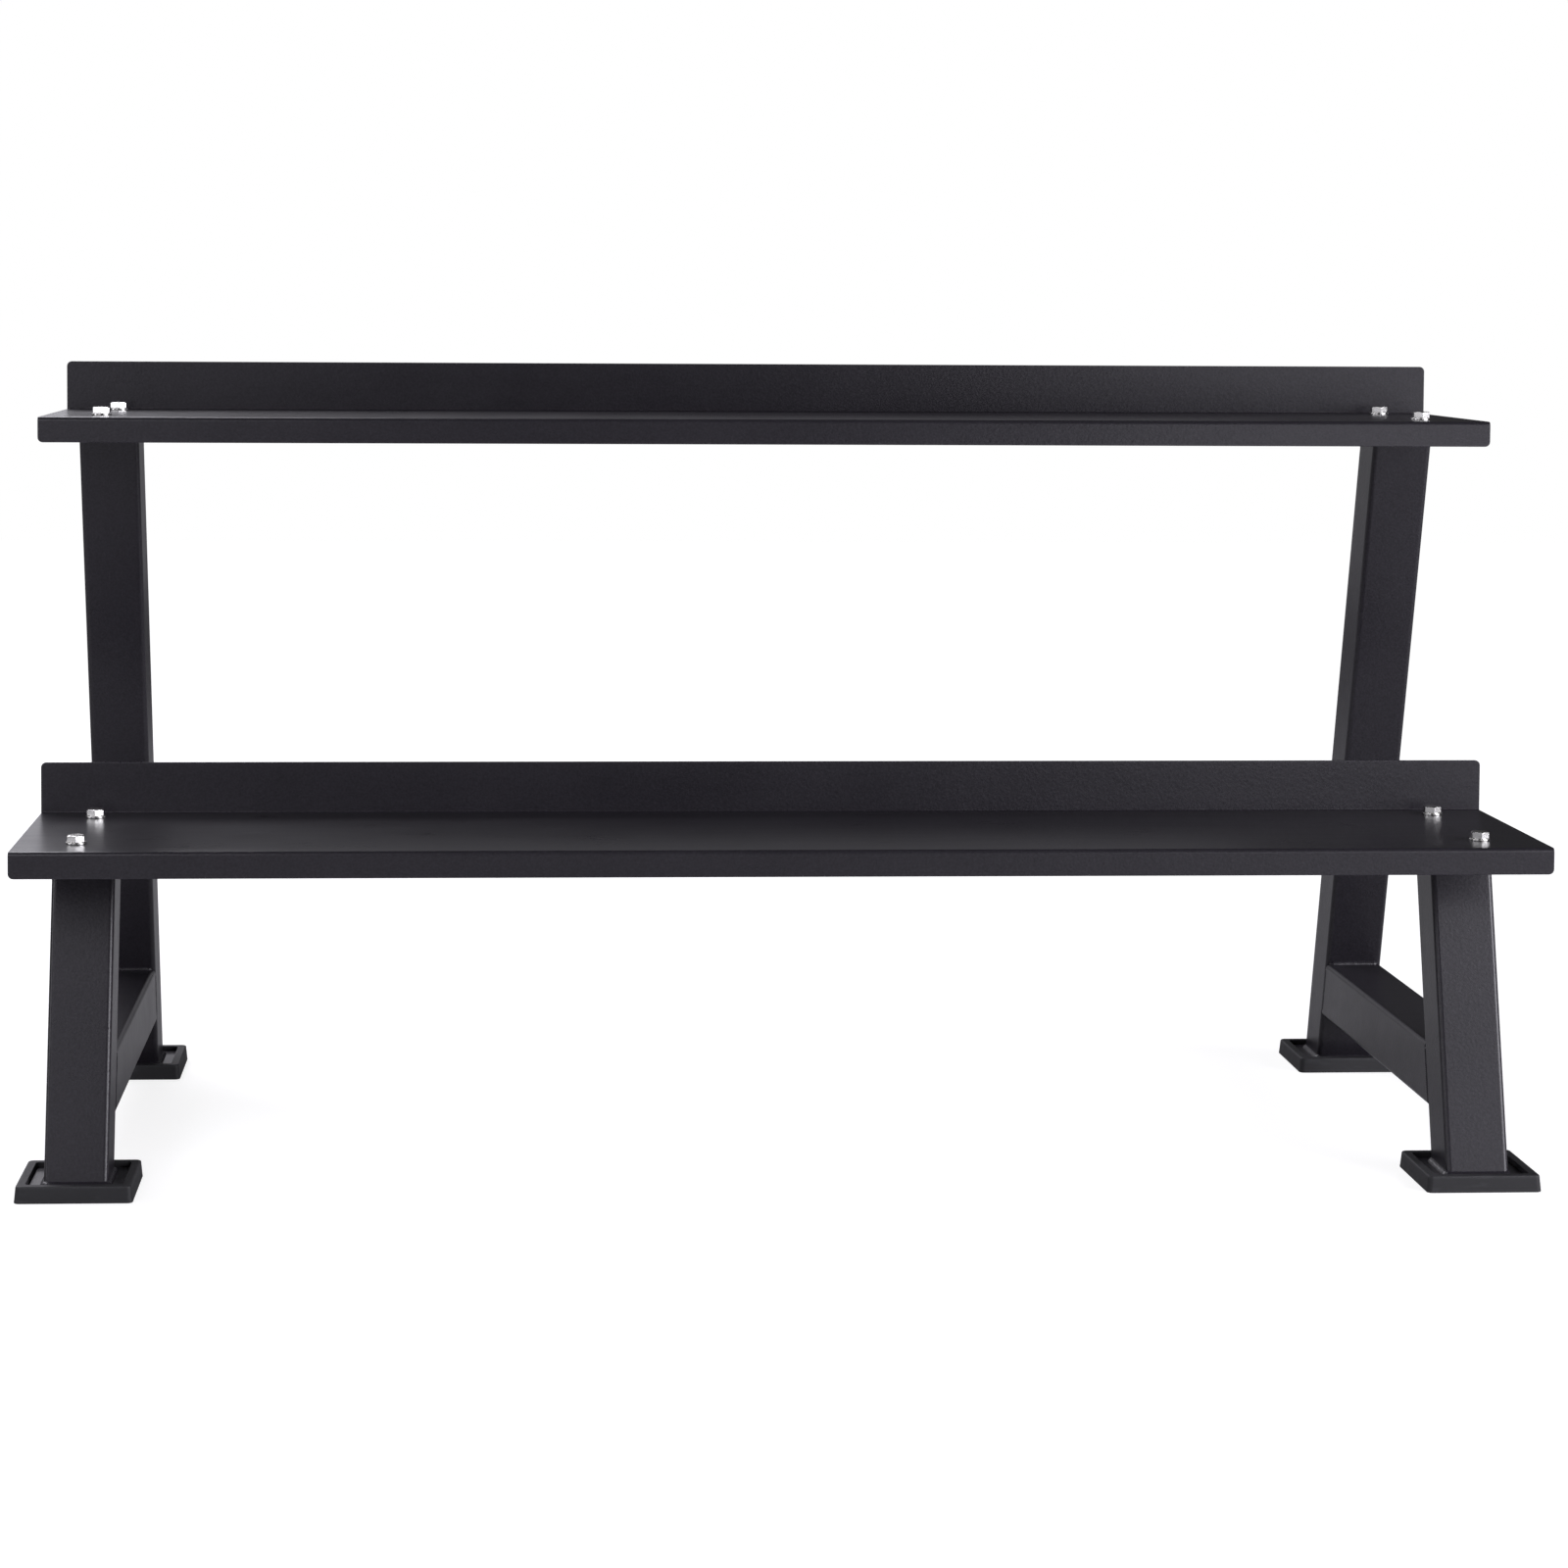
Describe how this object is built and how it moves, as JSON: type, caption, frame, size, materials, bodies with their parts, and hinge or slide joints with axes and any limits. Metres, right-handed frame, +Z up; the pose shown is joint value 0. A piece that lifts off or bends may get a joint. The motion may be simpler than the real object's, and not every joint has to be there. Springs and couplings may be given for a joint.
{
  "type": "dumbbell rack",
  "caption": "Two-tier dumbbell rack: flat steel shelves with front lips and rear upstands bolted on leaning square-tube side frames in rubber feet.",
  "frame": {"origin": "on the floor, under the middle of the rack's length and depth", "axes": "+Z up, front of the rack faces -Y, +X to the right as seen from the front, along the shelves"},
  "size_m": [1.44, 0.665, 0.772],
  "materials": {
    "powder_coat": "satin black powder coat with a fine orange-peel texture",
    "bright_zinc": "bright zinc plating",
    "rubber": "matte moulded black rubber"
  },
  "bodies": {
    "root": {"left_frame_welds": "powder_coat", "left_front_foot_plate": "powder_coat", "left_front_leg": "powder_coat", "left_front_rubber_foot": "rubber", "left_lower_bracket": "powder_coat", "left_rear_foot_plate": "powder_coat", "left_rear_post": "powder_coat", "left_rear_rubber_foot": "rubber", "left_stretcher": "powder_coat", "left_upper_bracket": "powder_coat", "lower_bolts": "bright_zinc", "lower_nuts": "bright_zinc", "lower_shelf": "powder_coat", "lower_top_washers": "bright_zinc", "lower_under_washers": "bright_zinc", "right_frame_welds": "powder_coat", "right_front_foot_plate": "powder_coat", "right_front_leg": "powder_coat", "right_front_rubber_foot": "rubber", "right_lower_bracket": "powder_coat", "right_rear_foot_plate": "powder_coat", "right_rear_post": "powder_coat", "right_rear_rubber_foot": "rubber", "right_stretcher": "powder_coat", "right_upper_bracket": "powder_coat", "upper_bolts": "bright_zinc", "upper_nuts": "bright_zinc", "upper_shelf": "powder_coat", "upper_top_washers": "bright_zinc", "upper_under_washers": "bright_zinc"}
  },
  "joints": []
}
